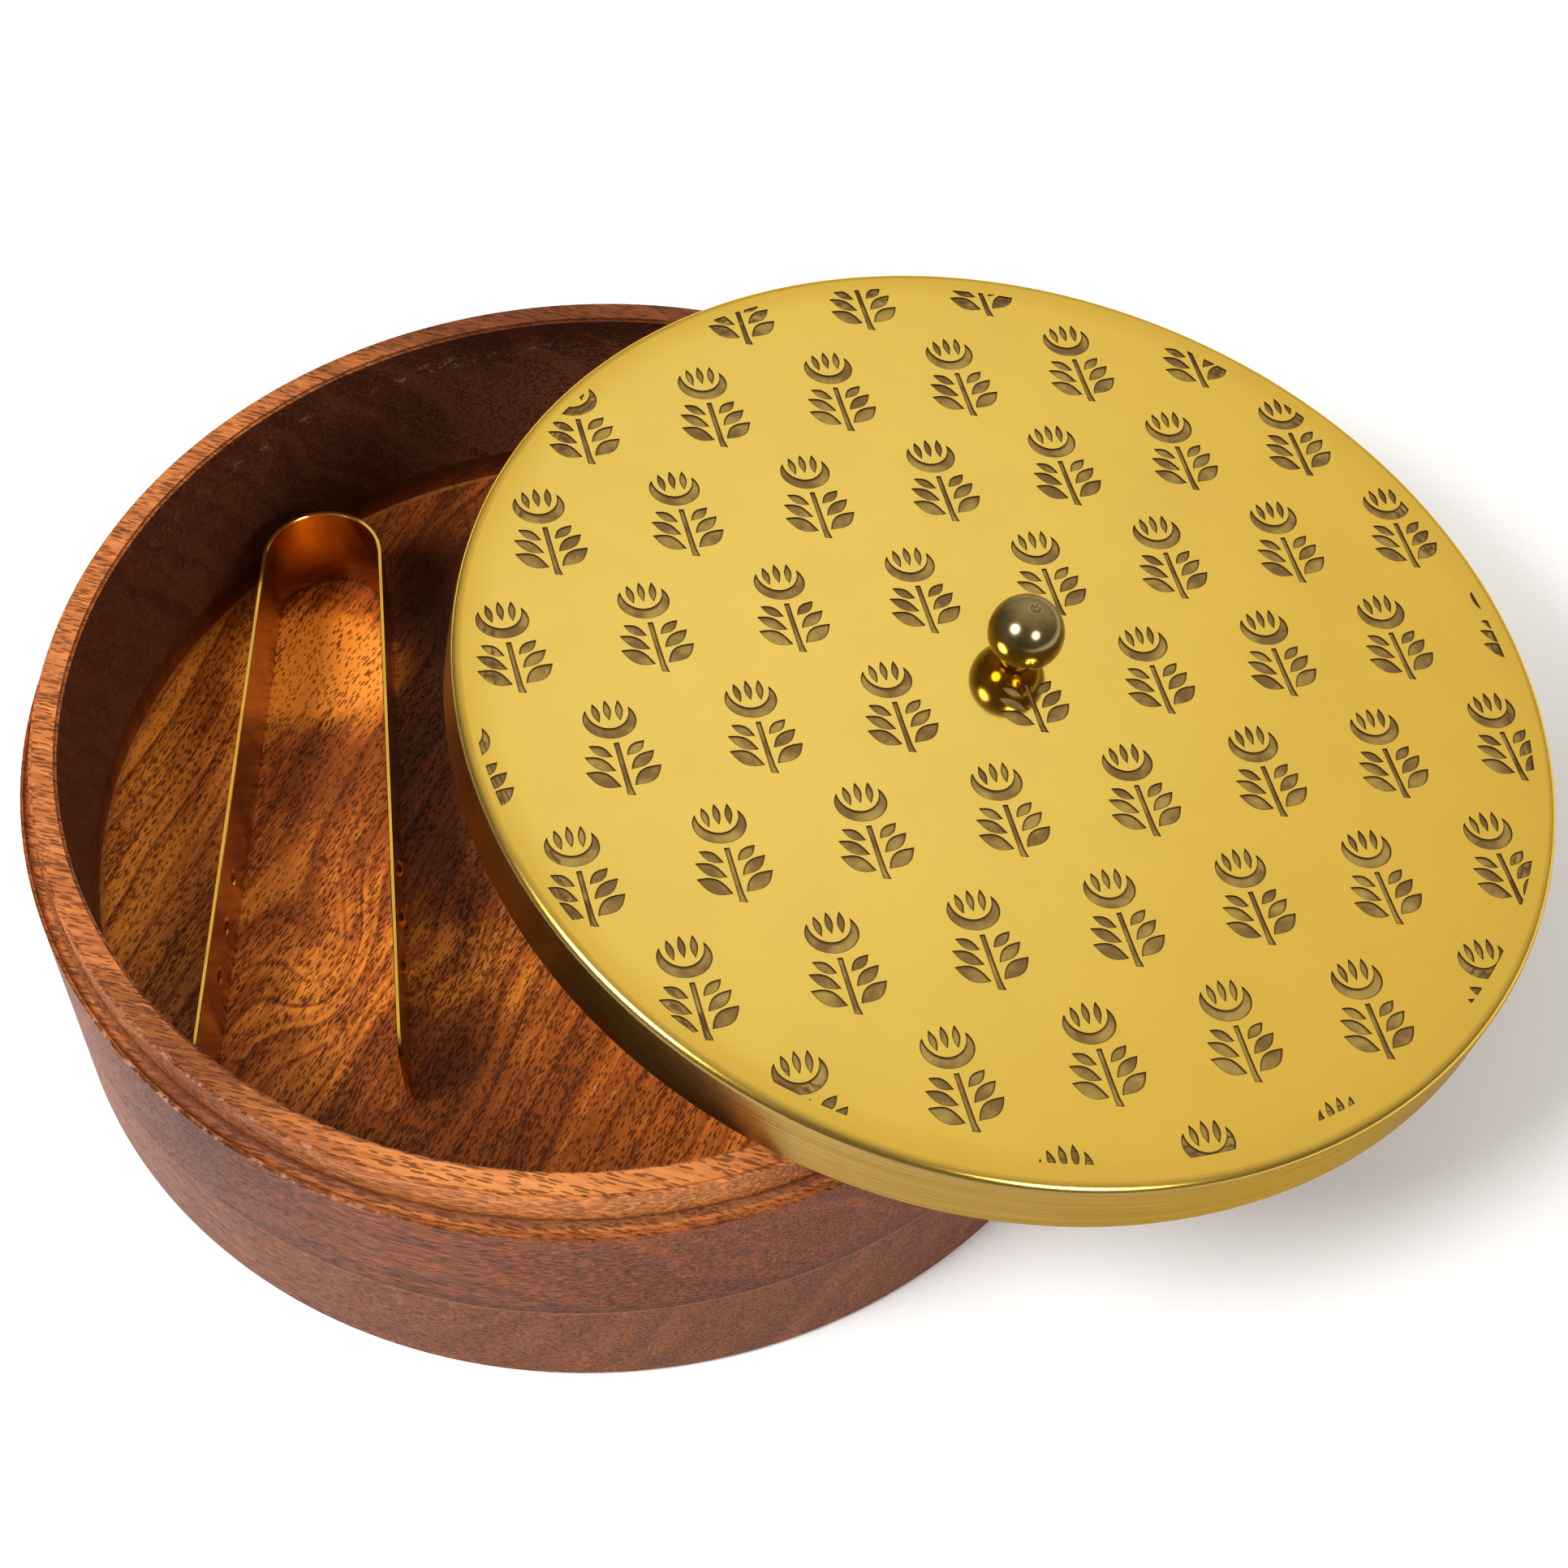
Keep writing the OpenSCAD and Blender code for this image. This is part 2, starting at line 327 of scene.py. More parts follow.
def wood(name, layer, seed, tone, turn):
    """Oiled hardwood: figure, dark pores along the board's grain, and rougher or worn places, with painted
    shade, a painted highlight and a painted reflection at places on the turned shape.
    """
    chance = random.Random(seed)
    look = FIGURE[layer]
    material = bpy.data.materials.new(name)
    t = Tree(material)
    here = t.add("TexCoord", out="Object")
    grain = t.add("Mapping", {
        "Vector": here,
        "Location": [chance.uniform(-400, 400) for _ in range(3)],
        "Rotation": (0, 0, -math.radians(GRAIN[layer] + turn)),
        "Scale": (1000, 1000, 1000),
    })
    parts = grain_parts(t, here, grain, layer)
    dark, middle, light = tone
    colour = t.ramp(lightness(t, here, parts, layer), [(0.0, dark), (0.5, middle), (1.0, light)])

    wall = turned_wall(t, here)
    pores = t.math("MULTIPLY", all_pores(t, grain, parts["bands"], look), t.span(wall, 0.0, 1.0, 1.0, 0.6))
    colour = t.mix(t.math("MULTIPLY", pores, look["pore_depth"]), colour, rgb(*darker(dark, 0.45)))
    torn_fibre = t.noise(t.stretch(grain, (5.5, 0.62, 0.62)), detail=4.0, roughness=0.75)
    colour = t.mix(wall, colour, t.multiply(colour, t.span(torn_fibre, 0.34, 0.66, 0.42, 1.62)))
    colour = weathered(t, colour, layer, here)

    rough = t.math("ADD", parts["streaks"], t.math("MULTIPLY", pores, 0.4))
    relief = t.math("SUBTRACT", t.math("MULTIPLY", parts["fibre"], 0.35), pores)
    t.finish({
        "Base Color": colour,
        "Roughness": t.span(rough, 0.25, 0.95, *look["rough"]),
        "Normal": t.bump(relief, 0.00012, 0.7),
        "Specular IOR Level": 0.15,
    })
    return material


def weathered(t, colour, layer, here):
    """Adds what belongs to places on the turned shape: painted shade on the walls, a painted reflection at
    the inner wall's foot, painted shade in the cove and at the seam, a painted highlight along the floor's
    corner, worn edges, chips and glue lines.
    """
    radius = axis_distance(t, here)
    level = t.math("MULTIPLY", t.add("SeparateXYZ", {0: here}, out="Z"), 1000)
    scuff = t.noise(millimetres(t, here, (2.2, 2.2, 2.2)), detail=4.0, roughness=0.7)
    if layer == "floor":
        # Painted highlight: a lighter line along the floor's edge at the wall.
        corner = t.span(radius, BORE_R - 1.5, BORE_R - 0.7)
        return t.mix(t.math("MULTIPLY", corner, t.span(scuff, 0.3, 0.6, 0.2, 0.8)), colour, rgb(*CORNER_HIGHLIGHT))
    inner = inner_wall(t, radius, level)
    # Painted shade darkens the inner wall, and a painted reflection of the floor lightens the wall's foot.
    wall_shade_and_reflection = t.mix(t.span(level, FLOOR_TOP + 6, FLOOR_TOP - 1), rgb(*INNER_SHADE[layer]), rgb(*CORNER_REFLECTION))
    colour = t.mix(inner, colour, t.multiply(colour, wall_shade_and_reflection))
    glue = t.math("MULTIPLY", t.band(level, GLUE_Z, 0.14, 0.2), t.span(scuff, 0.3, 0.5, 0.3, 0.8))
    glue = t.math("MULTIPLY", glue, t.span(radius, BORE_R + 1, BORE_R + 2))
    if layer == "lower":
        return t.mix(glue, colour, rgb(*GLUE_LINE))
    colour = t.mix(glue, shaded_outside(t, colour, radius, level), rgb(*GLUE_LINE))
    colour = t.mix(torn_edges(t, here, radius, level, scuff), colour, rgb(*TORN_WOOD))
    # Painted shade in the cove where the rim's outer wall meets the ledge.
    low = t.span(level, LEDGE_Z + 1.7, LEDGE_Z + 0.8)
    cove = t.math("MULTIPLY", t.band(radius, RIM_R + 0.4, 0.5, 0.6), low)
    colour = t.mix(t.math("MULTIPLY", cove, 0.6), colour, rgb(*COVE_SHADE))
    return t.mix(chipped_wall(t, here, inner, level, scuff), colour, rgb(*CHIPPED_WOOD))


def inner_wall(t, radius, level):
    """1 on the box's inner wall, up to just below the rim."""
    return t.math("MULTIPLY", t.span(radius, BORE_R + 0.12, BORE_R + 0.4, 1.0, 0.0),
                  t.span(level, BOX_H - 0.9, BOX_H - 0.5, 1.0, 0.0))


def shaded_outside(t, colour, radius, level):
    """Painted shade on the upper ring's outer wall, and more painted shade down towards the glue line."""
    outer = t.math("MULTIPLY", t.span(radius, BOX_R - 0.8, BOX_R - 0.35),
                   t.span(level, LEDGE_Z - 0.3, LEDGE_Z - 0.8))
    # Painted shade on the outer wall, and more of it down towards the glue line.
    colour = t.mix(outer, colour, t.multiply(colour, rgb(*OUTER_SHADE)))
    seam = t.math("MULTIPLY", outer, t.span(level, GLUE_Z + 5, GLUE_Z, 0.0, 0.45))
    return t.mix(seam, colour, rgb(*SEAM_SHADE))


def torn_edges(t, here, radius, level, scuff):
    """1 in flecks where the front left of the ledge's and the rim's outer edges is torn."""
    front_left = spot(t, here, (-72, -100, LEDGE_Z), (45, 45, 20))
    ledge = t.math("MULTIPLY", t.span(radius, BOX_R - 1.1, BOX_R - 0.5), t.span(front_left, 0.15, 0.7))
    ledge = t.math("MULTIPLY", ledge, t.band(level, LEDGE_Z - 0.3, 0.6, 0.5))
    rim = t.math("MULTIPLY", t.band(radius, RIM_R - 0.35, 0.3, 0.3), t.span(front_left, 0.25, 0.7, 0.0, 0.8))
    rim = t.math("MULTIPLY", rim, t.span(level, BOX_H - 1.2, BOX_H - 0.8))
    return t.math("MULTIPLY", t.math("MAXIMUM", ledge, rim), t.span(scuff, 0.48, 0.62, 0.0, 0.8))


def chipped_wall(t, here, inner, level, scuff):
    """1 in small chips on the inner wall, below the rim at the back left."""
    back_left = spot(t, here, (-66, 90, BOX_H), (70, 45, 30))
    chips = t.math("MULTIPLY", t.span(scuff, 0.56, 0.66), back_left)
    return t.math("MULTIPLY", t.math("MULTIPLY", inner, t.band(level, BOX_H - 8.5, 0.8, 1.6)), chips)


# ---- Wooden box ----------------------------------------------------------

TONES = {
    "upper": ((0.135, 0.036, 0.011), (0.33, 0.100, 0.026), (0.52, 0.185, 0.052)),
    "lower": ((0.088, 0.021, 0.0045), (0.164, 0.042, 0.0082), (0.265, 0.079, 0.016)),
    # The floor's light end is raised so that the painted glow beside the bow reaches it.
    "floor": ((0.085, 0.018, 0.0045), (0.325, 0.076, 0.0105), (1.0, 0.33, 0.040)),
}

# Painted shade on each ring's inner wall, a painted reflection of the floor at the foot of that wall, and
# painted shade on the upper ring's outer wall
INNER_SHADE = {"upper": (0.30, 0.28, 0.48), "lower": (0.46, 0.42, 0.48)}
CORNER_REFLECTION = (1.2, 1.0, 0.8)
OUTER_SHADE = (0.445, 0.325, 0.215)

# Colours at places on the turned shape: a painted highlight along the floor's corner, the glue line, painted
# shade at the seam and in the cove, and bare torn and chipped wood
CORNER_HIGHLIGHT = (0.30, 0.105, 0.024)
GLUE_LINE = (0.30, 0.095, 0.026)
SEAM_SHADE = (0.03, 0.010, 0.004)
COVE_SHADE = (0.085, 0.024, 0.010)
TORN_WOOD = (0.44, 0.22, 0.12)
CHIPPED_WOOD = (0.22, 0.15, 0.14)

# Weight of each part of the figure, its spread from dark to light, the growth bands' width in mm, and how
# crowded, far apart (along and across the grain, in mm) and dark the pores are
WEIGHTED = ("bands", "streaks", "blotches", "curl", "fibre")
FIGURE = {
    "upper": {"bands": 0.36, "streaks": 0.52, "blotches": 0.20, "curl": 0.10, "fibre": 0.80, "rings": 0.10,
              "spread": 0.40, "band_width": 7.0, "pores": (0.25, 0.34), "pore_size": (4.4, 0.62),
              "pore_depth": 0.75, "rough": (0.42, 0.64)},
    "lower": {"bands": 0.36, "streaks": 0.46, "blotches": 0.20, "curl": 0.22, "fibre": 0.80, "rings": 0.08,
              "spread": 0.44, "band_width": 8.0, "pores": (0.20, 0.30), "pore_size": (2.8, 0.68),
              "pore_depth": 0.75, "rough": (0.42, 0.62)},
    "floor": {"bands": 0.42, "streaks": 0.32, "blotches": 0.34, "curl": 0.14, "fibre": 0.50, "rings": 0.34,
              "spread": 0.50, "band_width": 8.0, "pores": (0.25, 0.335), "pore_size": (2.4, 0.56),
              "pore_depth": 0.82, "rough": (0.34, 0.58)},
}

# Eyes: (middle, half sizes, lift of the growth bands) in mm
EYES = {
    "upper": [((-84, -92, 46), (9, 9, 7), 12)],
    "lower": [((-60, -109, 15), (16, 14, 8), 10)],
    "floor": [((-60.8, -32, 22), (11, 22, 30), 20), ((-34, -34, 22), (10, 16, 30), 9)],
}

# Lighter and darker clouds, some of them painted light and shade: (middle, half sizes, lift) in mm
CLOUDS_AND_PAINTED_LIGHT = {
    "upper": [((-78, -92, 73), (26, 26, 40), -0.26), ((-5, -118, 73), (45, 20, 20), 0.20),
              ((-12, 116, 40), (34, 12, 17), 0.75), ((-20, 117, 74), (60, 14, 8), -0.40)],
    "lower": [],
    # Floor: (-69, 50) is a painted glow of light off the tongs' bow, (-100, 5) painted light on the left,
    # (-38, 20) the lid's painted shadow right of the tongs, (-15, 84) and (-44, 68) painted shade by the back
    # wall and beside the bow; the others are lighter and darker clouds in the wood.
    "floor": [((-69, 50, 22), (16, 12, 30), 1.5), ((-100, 5, 22), (13, 60, 30), 0.22),
              ((-15, 84, 22), (44, 26, 30), -0.38), ((-44, 68, 22), (9, 26, 30), -0.34),
              ((-12, -80, 22), (30, 26, 30), -0.12), ((-62, -40, 22), (16, 34, 30), 0.16),
              ((-58, 18, 22), (14, 14, 30), -0.12),
              ((-34, -28.5, 22), (6, 5, 30), 0.20), ((-33.6, -41.4, 22), (6, 5, 30), 0.20),
              ((-38, 20, 22), (14, 60, 30), -0.12), ((-30, -36, 22), (14, 14, 30), 0.16),
              ((-30, -62, 22), (16, 12, 30), -0.16)],
}


def darker(colour, factor):
    """A colour with each part multiplied by factor."""
    return tuple(part * factor for part in colour)


def dress(node, material):
    """Gives a carried-over CAD node its material."""
    slots = frame["nodes"][node].data.materials
    slots.clear()
    slots.append(material)


def make_wood():
    chance = random.Random(11)
    for seed, node in enumerate(frame["record"]["behaviour"]["bodies"]["box"]):
        layer = node.split("_")[0]
        factor = chance.uniform(0.88, 1.12)
        tone = [darker(colour, factor) for colour in TONES[layer]]
        dress(node, wood("wood_" + node, layer, seed + 3, tone, chance.uniform(-3, 3)))
        frame["nodes"][node].data.shade_smooth()
        frame["nodes"][node].data.set_sharp_from_angle(angle=math.radians(25))


# ---- Lid -----------------------------------------------------------------


def lid_place():
    """Matrix from the lid's own axes (plate's top at z = 0, its centre at the origin) to the frame."""
    mesh = frame["nodes"]["lid_pan"].data
    up = max(mesh.polygons, key=lambda p: p.area * max(p.normal.z, 0)).normal.normalized()
    top = max(v.co.dot(up) for v in mesh.vertices)
    plate = [p for p in mesh.polygons if p.center.dot(up) > top - 0.02 * MM]
    centre = sum((p.center * p.area for p in plate), Vector()) / sum(p.area for p in plate)
    along = Vector((up.z, 0, -up.x)).normalized()
    axes = Matrix((along, up.cross(along), up)).transposed().to_4x4()
    return Matrix.Translation(centre) @ axes


def leaf(base, tip, width, inset):
    """A pointed oval from base to tip. inset moves its outline inward, in mm."""
    base, tip = Vector(base), Vector(tip)
    along = (tip - base).normalized()
    side = Vector((-along.y, along.x))
    start = base + along * inset * 2.0
    length = (tip - base).length - inset * 4.0
    half = width / 2 - inset
    steps = [k / 9 for k in range(10)]
    out = [start + along * length * s + side * half * math.sin(math.pi * s ** 0.92) for s in steps]
    back = [start + along * length * s - side * half * math.sin(math.pi * s ** 1.08) for s in steps[-2:0:-1]]
    return out + back


def crescent(inset):
    """The cup of the flower: one elliptical arc below and a smaller one above it."""
    lower = arc(0, 0.4, 5.75 - inset, 4.85 - inset, -217 + 7 * inset, 37 - 7 * inset, 26)
    rise, half_width, half_height = 2.9 - 1.6 * inset, 4.55 + 0.5 * inset, 4.65 - 0.1 * inset
    upper = arc(0, rise, half_width, half_height, 2 - 9 * inset, -182 + 9 * inset, 20)
    return [Vector(p) for p in lower + upper[1:-1]]


def stem(inset):
    """A slim bar, cut off slanting at its foot."""
    left, right, top, foot = -0.6 + inset, 0.6 - inset, -5.5 - inset, -18.6 + inset
    left_side = [(left, top), (left, -12), (left - 0.05, foot)]
    right_side = [(right + 0.45, foot - 0.4 + inset), (right + 0.1, -16.8), (right, -12), (right, top)]
    return [Vector(p) for p in left_side + right_side]


def mirrored(point, side):
    return (point[0] * side, point[1])


def flower(inset):
    """Outlines of one etched flower, in mm about the middle of its cup, stem down -Y."""
    shapes = [crescent(inset), stem(inset)]
    for x, foot, head in ((-2.25, -0.15, 4.85), (0.0, 0.15, 5.45), (2.25, -0.15, 5.2)):
        shapes.append(leaf((x, foot), (x * 1.25, head), 1.68, inset))
    for side in (-1, 1):
        shapes.append(leaf(mirrored((1.5, -8.95), side), mirrored((6.0, -5.6), side), 2.4, inset))
        shapes.append(leaf(mirrored((1.6, -12.5), side), mirrored((7.5, -8.3), side), 2.9, inset))
        shapes.append(leaf(mirrored((1.4, -16.5), side), mirrored((8.1, -12.1), side), 3.6, inset))
    return shapes


def anticlockwise(loop):
    """The same outline, turned round if it runs clockwise."""
    twice_area = sum(a.x * b.y - b.x * a.y for a, b in zip(loop, loop[1:] + loop[:1]))
    return loop if twice_area > 0 else loop[::-1]


def flower_spot(i, j):
    """Middle of the cup of flower i in row j, on the plate. The rows bow a little."""
    x = -99.9 + 29.65 * i - 5.78 * j - 0.12 * i * i + 0.16 * i * j - 0.125 * j * j
    y = 65.45 + 10.07 * i - 32.5 * j - 0.08 * i * i - 0.086 * i * j - 0.027 * j * j
    return Vector((x, y))


def on_plate(placed):
    """Whether an outline reaches into the oval that is etched and stays clear of the knob."""
    middle = sum(placed, Vector((0, 0))) / len(placed)
    clear = (middle - Vector((0, KNOB_BACK))).length >= KNOB_CLEAR
    return clear and min((p - ETCH_SHIFT).length for p in placed) < ETCH_LIMIT[0] - 0.3


def plate_outlines():
    """Every outline on the plate: its circles, then each flower's shapes and the same shapes drawn in."""
    limit = [ETCH_SHIFT + Vector((x * ETCH_LIMIT[0], y * ETCH_LIMIT[1])) for x, y in circle(1.0, ROUND)]
    circles = [circle(ROLL_FROM, ROUND), limit, circle(HOLE_R, 24, KNOB_BACK)]
    circles += [circle(ROLL_FROM - d, ROUND) for d in (1.1, 2.2, 3.4, 4.8, 6.6)]
    turn = Matrix.Rotation(FLOWER_TURN, 2)
    full, inner = [], []
    for i, j in itertools.product(range(-2, 12), range(-2, 10)):
        centre = flower_spot(i, j)
        if centre.length > LID_R + 15:
            continue
        for shapes, inset in ((full, 0.0), (inner, INSET)):
            placed = [anticlockwise([centre + turn @ p for p in shape]) for shape in flower(inset)]
            shapes += [outline for outline in placed if on_plate(outline)]
    return [[Vector(p) for p in c] for c in circles], full, inner


def crown(radius):
    """How far the plate's face has dropped at a radius: it eases over towards the roll."""
    return -CROWN * max(0.0, (radius - CROWN_FROM) / (ROLL_FROM - CROWN_FROM)) ** 2


def edge_normal(x, y, z):
    """The lid's outward direction where its face eases over and rolls down to the skirt."""
    radius = math.hypot(x, y)
    if radius < ROLL_FROM + 0.01:
        slope = 2 * CROWN * (radius - CROWN_FROM) / (ROLL_FROM - CROWN_FROM) ** 2
        return Vector((x / radius * slope, y / radius * slope, 1)).normalized()
    out = (radius - ROLL_FROM) / EDGE_R ** 2
    return Vector((x / radius * out, y / radius * out, (z + EDGE_R) / (EDGE_R - CROWN) ** 2)).normalized()


def smooth_edge(pan, place):
    """Gives the plate's border and the roll their exact normals, so that reflections run smoothly round."""
    mesh = pan.data
    back = place.inverted()
    turn = place.to_3x3()
    normals = [Vector()] * len(mesh.loops)
    for face in mesh.polygons:
        if face.material_index not in (FACE, ROLL):
            continue
        for loop in face.loop_indices:
            own = back @ mesh.vertices[mesh.loops[loop].vertex_index].co / MM
            if math.hypot(own.x, own.y) > CROWN_FROM:
                normals[loop] = turn @ edge_normal(*own)
    mesh.normals_split_custom_set(normals)


def etched_plate():
    """Points, faces, material slots and shading of the plate's top, with every flower sunk into it. rim gives
    the mesh's point for each point of the plate's edge."""
    circles, full, inner = plate_outlines()
    loops = circles + full + inner
    starts = [sum(len(loop) for loop in loops[:k]) for k in range(len(loops))]
    rings = [list(range(start, start + len(loop))) for start, loop in zip(starts, loops)]
    cut = delaunay_2d_cdt([p for loop in loops for p in loop], [], rings, 1, 1e-5, True)
    points, triangles, origins, inside = cut[0], cut[2], cut[3], cut[5]
    edge, oval, hole = 0, 1, 2
    flowers = range(len(circles), len(circles) + len(full))
    inner_from = starts[flowers.stop]
    made = {"points": [], "faces": [], "slots": [], "lit": [], "rim": {}}
    number = {}

    def vertex(k, low):
        if (k, low) not in number:
            number[k, low] = len(made["points"])
            height = crown(points[k].length) - (ETCH_DEPTH if low else 0.0)
            drawn_in = low and origins[k] and min(origins[k]) >= inner_from
            made["points"].append((points[k].x, points[k].y, height))
            made["lit"].append(1.0 if drawn_in else 0.0)
            made["rim"].update({origin: number[k, low] for origin in origins[k] if origin < starts[oval]})
        return number[k, low]

    sides = {}
    for triangle, owners in zip(triangles, inside):
        if hole in owners or edge not in owners:
            continue
        low = oval in owners and any(owner in flowers for owner in owners)
        made["faces"].append([vertex(k, low) for k in triangle])
        made["slots"].append(ETCHED if low else FACE)
        for a, b in zip(triangle, triangle[1:] + triangle[:1]):
            sides[a, b] = low
    for (a, b), low in sides.items():
        if low and sides.get((b, a)) is False:
            made["faces"].append([vertex(b, True), vertex(a, True), vertex(a, False), vertex(b, False)])
            made["slots"].append(WALL)
    return made


def pan_profile():
    """(radius, z) and material slot of each ring of points, from the plate's edge round to the inside."""
    roll = arc(ROLL_FROM, -EDGE_R, EDGE_R, EDGE_R - CROWN, 83, 0, 12)
    skirt = [(LID_R, z) for z in (-4.5, -8, -11.5)]
    inside_r, ease = LID_R - SHEET, 0.2
    lip = [(LID_R, -LID_DEPTH + ease), (LID_R - ease, -LID_DEPTH)]
    lip += [(inside_r + ease, -LID_DEPTH), (inside_r, -LID_DEPTH + ease)]
    inner_roll = arc(ROLL_FROM, -EDGE_R, EDGE_R - SHEET, EDGE_R - SHEET, 0, 90, 7)
    polished, brushed = roll[:8], roll[8:] + skirt + lip
    hidden = inner_roll + [(r, -SHEET) for r in (90, 45, 12)]
    return [(p, ROLL) for p in polished] + [(p, SKIRT) for p in brushed] + [(p, INSIDE) for p in hidden]


def make_lid_pan(place):
    """The lid's sheet: etched plate, rolled edge, skirt and the plain inside."""
    made = etched_plate()
    points, faces, slots, lit = made["points"], made["faces"], made["slots"], made["lit"]
    ring = [made["rim"][k] for k in range(ROUND)]
    rings = [([(x, y, z) for x, y in circle(radius, ROUND)], slot) for (radius, z), slot in pan_profile()]
    rings.append(([(x, y, -SHEET) for x, y in circle(HOLE_R, ROUND, KNOB_BACK)], INSIDE))
    for ring_points, slot in rings:
        next_ring = list(range(len(points), len(points) + ROUND))
        points += ring_points
        faces += ring_faces(next_ring, ring)
        slots += [slot] * ROUND
        lit += [0.0] * ROUND
        ring = next_ring

    pan = new_object("lid_sheet", points, faces, place)
    for material in (mirror_brass(place), etched_brass(), etched_wall(), rolled_brass(), skirt_brass(place),
                     inside_brass()):
        pan.data.materials.append(material)
    pan.data.polygons.foreach_set("material_index", slots)
    smooth_edge(pan, place)
    layer = pan.data.attributes.new("lit", "FLOAT", "POINT")
    layer.data.foreach_set("value", lit)
    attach(pan, "lid")
    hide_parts("lid_pan")


def make_knob(place):
    """A turned ball on a small foot, with the lathe's centre mark at its pole."""
    middle = place @ Matrix.Translation((0, KNOB_BACK * MM, 0))
    start = math.degrees(math.asin(FOOT_R / BALL_R)) - 90
    ball = arc(0, BALL_Z, BALL_R, BALL_R, start, 81, 44)
    groove = [(1.18, 16.76), (1.02, 16.62), (0.86, 16.74)]
    pit = [(0.55, 16.86), (0.40, 16.80), (0.28, 16.60)]
    profile = [(0.0001, 0), (FOOT_R, 0), (FOOT_R, 0.3)] + ball + groove + pit
    count = 96
    points, faces = [], []
    for radius, z in profile:
        points += [(x, y, z) for x, y in circle(radius, count)]
    for k in range(len(profile) - 1):
        below = list(range(k * count, (k + 1) * count))
        faces += ring_faces(below, [n + count for n in below])
    faces.append(list(range((len(profile) - 1) * count, len(profile) * count)))
    knob = new_object("ball_knob", points, faces, middle)
    knob.data.materials.append(aged_and_shaded_brass())
    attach(knob, "lid")
    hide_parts("lid_knob")


def brass(name, colour, low, high, grime=0.0, relief=None, wear_size=9.0, fade=0.80, edge=(1, 1, 1),
          brushed=0.0):
    """Polished brass whose roughness, from low to high, and tint vary a little from handling. relief(t,
    place) gives a bump's height and distance. brushed is how strongly the relief's low places darken."""
    material = bpy.data.materials.new(name)
    t = Tree(material)
    place = t.add("TexCoord", out="Object")
    smear = t.noise(zoomed(t, place, 1000 / wear_size), detail=4.0, roughness=0.6)
    specks = t.noise(zoomed(t, place, 2600), detail=2.0)
    tint = t.mix(t.span(smear, 0.35, 0.75), rgb(*colour), rgb(*darker(colour, fade)))
    if grime:
        tint = t.mix(t.math("MULTIPLY", t.span(smear, 0.45, 0.8), grime), tint, rgb(0.10, 0.06, 0.025))
    rough = t.math("ADD", t.math("MULTIPLY", smear, 0.7), t.math("MULTIPLY", specks, 0.3))
    inputs = {
        "Base Color": tint,
        "Metallic": 1.0,
        "Roughness": t.span(rough, 0.3, 0.7, low, high),
        "Specular Tint": rgb(*edge),
    }
    if relief:
        height, distance = relief(t, place)
        inputs["Normal"] = t.bump(height, distance)
        if brushed:
            dark = rgb(*darker(colour, 0.45))
            inputs["Base Color"] = t.mix(t.span(height, 0.62, 0.34, 0.0, brushed), tint, dark)
    t.finish(inputs)
    return material


def lid_axes(t, place, matrix):
    """The lid's own coordinates, in mm, from the frame's."""
    local = t.add("Mapping", {"Vector": place, "Location": matrix.to_translation(),
                              "Rotation": matrix.to_euler()}, vector_type="TEXTURE")
    return t.add("Mapping", {"Vector": local, "Scale": (1000, 1000, 1000)})


def mirror_brass(matrix):
    """The plate's face: near-mirror, with faint waves of a pressed sheet."""
    def relief(t, place):
        waves = t.noise(t.stretch(lid_axes(t, place, matrix), (55, 55, 55)), detail=1.0)
        return waves, 0.00012
    return brass("brass_plate", (0.885, 0.585, 0.094), 0.05, 0.09, relief=relief, wear_size=24, fade=0.965)


def etched_brass():
    """The floor of the etching: matte, darkened with painted shade where it meets the walls, and lighter and
    yellower in the middle.
    """
    material = bpy.data.materials.new("brass_etched")
    t = Tree(material)
    place = t.add("TexCoord", out="Object")
    lit = t.add("Attribute", attribute_name="lit", out="Fac")
    grain = t.noise(zoomed(t, place, 3200), detail=3.0, roughness=0.7)
    patch = t.noise(zoomed(t, place, 160), detail=2.0)
    middle = t.math("MULTIPLY", t.math("POWER", lit, 1.4), t.span(patch, 0.3, 0.7, 0.35, 1.0))
    dark, shaded, bright = (0.13, 0.068, 0.020), (0.25, 0.15, 0.045), (0.50, 0.35, 0.085)
    # Painted shade by the etching's walls, painted light in its middle.
    tint = t.ramp(middle, [(0.0, dark), (0.45, shaded), (1.0, bright)])
    tint = t.mix(t.span(grain, 0.3, 0.7, 0.0, 0.35), tint, rgb(0.16, 0.09, 0.03))
    t.finish({"Base Color": tint, "Metallic": 0.75, "Roughness": t.span(grain, 0.3, 0.7, 0.5, 0.68),
              "Normal": t.bump(grain, 0.00004)})
    return material


def etched_wall():
    """The etching's steep walls, dark with painted shade."""
    # Painted shade: the walls are near black.
    return brass("brass_etched_wall", (0.11, 0.055, 0.02), 0.3, 0.45, wear_size=3)


def rolled_brass():
    """The polished roll between plate and skirt."""
    return brass("brass_roll", (0.80, 0.52, 0.09), 0.16, 0.20, wear_size=14, fade=0.9, edge=(0.9, 0.75, 0.4))


def skirt_brass(matrix):
    """The skirt's outside, brushed round and round, with thin scratches, its brass darker than the plate's
    with painted shade.
    """
    def relief(t, place):
        own = lid_axes(t, place, matrix)
        lines = t.noise(t.stretch(own, (70, 70, 0.8)), detail=3.0, roughness=0.75)
        return lines, 0.00004
    # Its colour is darker than the plate's brass: painted shade.
    return brass("brass_skirt", (0.39, 0.25, 0.078), 0.26, 0.34, relief=relief, wear_size=30, fade=0.95,
                 edge=(0.9, 0.7, 0.35), brushed=0.45)


def inside_brass():
    """The lid's inside, left satin."""
    return brass("brass_inside", (0.74, 0.50, 0.16), 0.22, 0.38, grime=0.3, wear_size=16)


